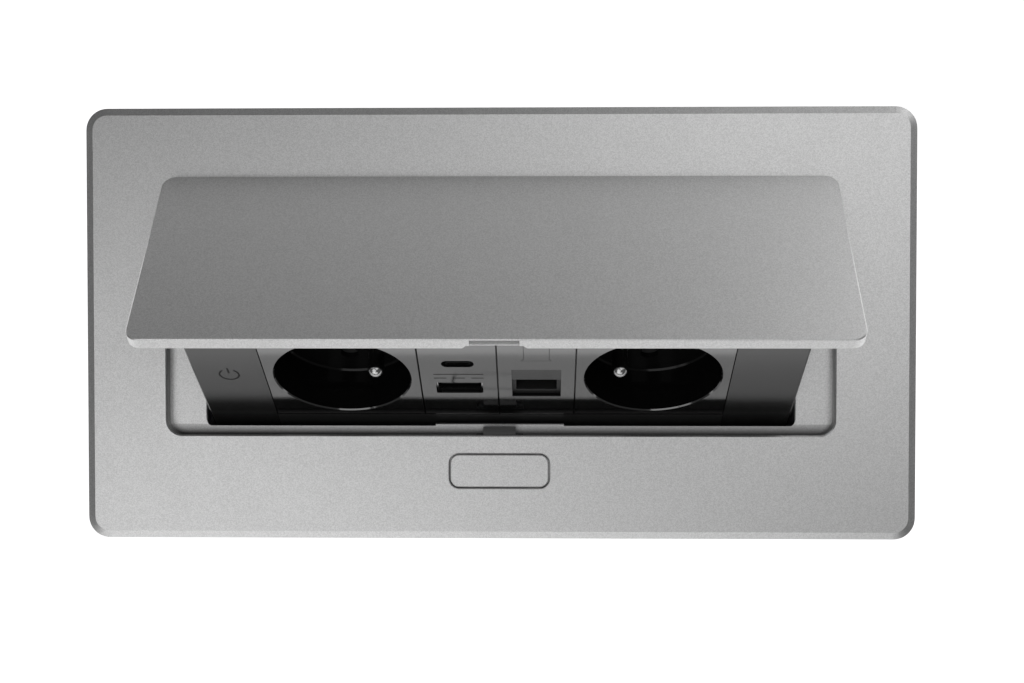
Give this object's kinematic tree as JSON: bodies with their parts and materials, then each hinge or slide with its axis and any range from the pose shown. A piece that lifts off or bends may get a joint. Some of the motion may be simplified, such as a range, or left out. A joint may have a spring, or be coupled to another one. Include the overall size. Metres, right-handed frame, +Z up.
{
  "type": "desk power unit",
  "caption": "Recessed desk power unit: a silver frame set in a desk, with a lidded block that tilts up to show French mains sockets, USB charging ports and a network port.",
  "frame": {"origin": "centre of the desk cut-out, on the desk's top surface", "axes": "+X right along the unit, +Y to the back of the desk (the hinge side), +Z up out of the desk"},
  "size_m": [0.25, 0.13, 0.1078],
  "materials": {
    "silver_lacquer": "satin metallic",
    "gloss_black": "gloss",
    "satin_anthracite": "satin",
    "zinc_steel": "bright zinc",
    "nickel": "polished",
    "brass": "plain",
    "black_rubber": "matt",
    "black_nylon": "moulded",
    "white_nylon": "moulded",
    "green_board": "solder mask",
    "spring_steel": "oiled"
  },
  "bodies": {
    "desk_frame": {"top_plate": "silver_lacquer", "desk_gasket": "black_rubber", "housing": "zinc_steel", "housing_screws": "zinc_steel", "cable_grommet": "black_rubber", "pivot_pins": "zinc_steel", "torsion_spring_left": "spring_steel", "torsion_spring_right": "spring_steel", "open_stops": "black_rubber", "rest_bumpers": "black_rubber", "damper_body": "black_nylon", "damper_bracket": "zinc_steel", "damper_screws": "zinc_steel", "latch_bracket": "zinc_steel", "latch_bracket_screws": "zinc_steel", "button_spring": "spring_steel", "latch_spring": "spring_steel", "clamp_studs": "zinc_steel"},
    "tilting_block": {"lid": "silver_lacquer", "lid_screws": "zinc_steel", "carriage_frame": "zinc_steel", "pivot_bushes": "white_nylon", "gear_sector": "white_nylon", "face_frame": "black_nylon", "end_cap_left": "satin_anthracite", "end_cap_right": "satin_anthracite", "rear_cover": "black_nylon", "mains_gland": "black_nylon", "data_gland": "black_nylon", "socket_left": "gloss_black", "socket_right": "gloss_black", "socket_back_left": "black_nylon", "socket_back_right": "black_nylon", "contact_clips_left": "brass", "contact_clips_right": "brass", "earth_pin_left": "nickel", "earth_pin_right": "nickel", "usb_face": "gloss_black", "usb_housing": "black_nylon", "usb_board": "green_board", "usb_c_shell": "nickel", "usb_a_shell": "nickel", "usb_tongues": "black_nylon", "network_face": "gloss_black", "network_jack": "black_nylon", "network_contacts": "brass", "bus_bars": "brass", "terminal_block": "black_nylon"},
    "damper_pinion": {"damper_pinion": "white_nylon"},
    "push_button": {"push_button": "silver_lacquer"},
    "latch_slide": {"latch_slide": "zinc_steel"},
    "desk_clamp_left": {"desk_clamp_left": "zinc_steel", "clamp_pad_left": "black_rubber"},
    "desk_clamp_right": {"desk_clamp_right": "zinc_steel", "clamp_pad_right": "black_rubber"},
    "wing_nut_left": {"wing_nut_left": "zinc_steel"},
    "wing_nut_right": {"wing_nut_right": "zinc_steel"},
    "socket_shutter_left": {"socket_shutter_left": "black_nylon"},
    "socket_shutter_right": {"socket_shutter_right": "black_nylon"},
    "network_shutter": {"network_shutter": "satin_anthracite"}
  },
  "joints": [
    {"name": "block_tilt", "type": "hinge", "parent": "desk_frame", "child": "tilting_block", "pos_m": [0, 0.04145, -0.0127], "axis": [1, 0, 0], "range_deg": [0, 41.8], "stiffness_Nm_per_rad": 0.4, "springref_deg": -50.13, "deforming": ["torsion_spring_left", "torsion_spring_right"]},
    {"name": "damper_turn", "type": "hinge", "parent": "desk_frame", "child": "damper_pinion", "pos_m": [0, 0.04145, -0.0309], "axis": [1, 0, 0], "range_deg": [-146.4, 0.1]},
    {"name": "button_press", "type": "slide", "parent": "desk_frame", "child": "push_button", "axis": [0, 0, -1], "range_m": [0, 0.002], "stiffness_N_per_m": 400, "springref_m": -0.004, "deforming": ["button_spring"]},
    {"name": "latch_draw", "type": "slide", "parent": "desk_frame", "child": "latch_slide", "axis": [0, -1, 0], "range_m": [0, 0.002], "deforming": ["latch_spring"]},
    {"name": "clamp_left_slide", "type": "slide", "parent": "desk_frame", "child": "desk_clamp_left", "axis": [0, 0, 1], "range_m": [-0.012, 0.013]},
    {"name": "wing_nut_left_turn", "type": "hinge", "parent": "desk_clamp_left", "child": "wing_nut_left", "pos_m": [-0.108, 0, -0.032], "axis": [0, 0, 1], "continuous": true},
    {"name": "socket_shutter_left_slide", "type": "slide", "parent": "tilting_block", "child": "socket_shutter_left", "axis": [-1, 0, 0], "range_m": [0, 0.006], "stiffness_N_per_m": 60, "springref_m": -0.004},
    {"name": "clamp_right_slide", "type": "slide", "parent": "desk_frame", "child": "desk_clamp_right", "axis": [0, 0, 1], "range_m": [-0.012, 0.013]},
    {"name": "wing_nut_right_turn", "type": "hinge", "parent": "desk_clamp_right", "child": "wing_nut_right", "pos_m": [0.108, 0, -0.032], "axis": [0, 0, 1], "continuous": true},
    {"name": "socket_shutter_right_slide", "type": "slide", "parent": "tilting_block", "child": "socket_shutter_right", "axis": [1, 0, 0], "range_m": [0, 0.006], "stiffness_N_per_m": 60, "springref_m": -0.004},
    {"name": "network_shutter_slide", "type": "slide", "parent": "tilting_block", "child": "network_shutter", "axis": [0, -0.5373, -0.8434], "range_m": [-0.0045, 0.0088]}
  ],
  "couplings": [
    {"joint": "damper_turn", "follows": "block_tilt", "ratio": -3.5},
    {"joint": "latch_draw", "follows": "button_press", "ratio": 1}
  ]
}
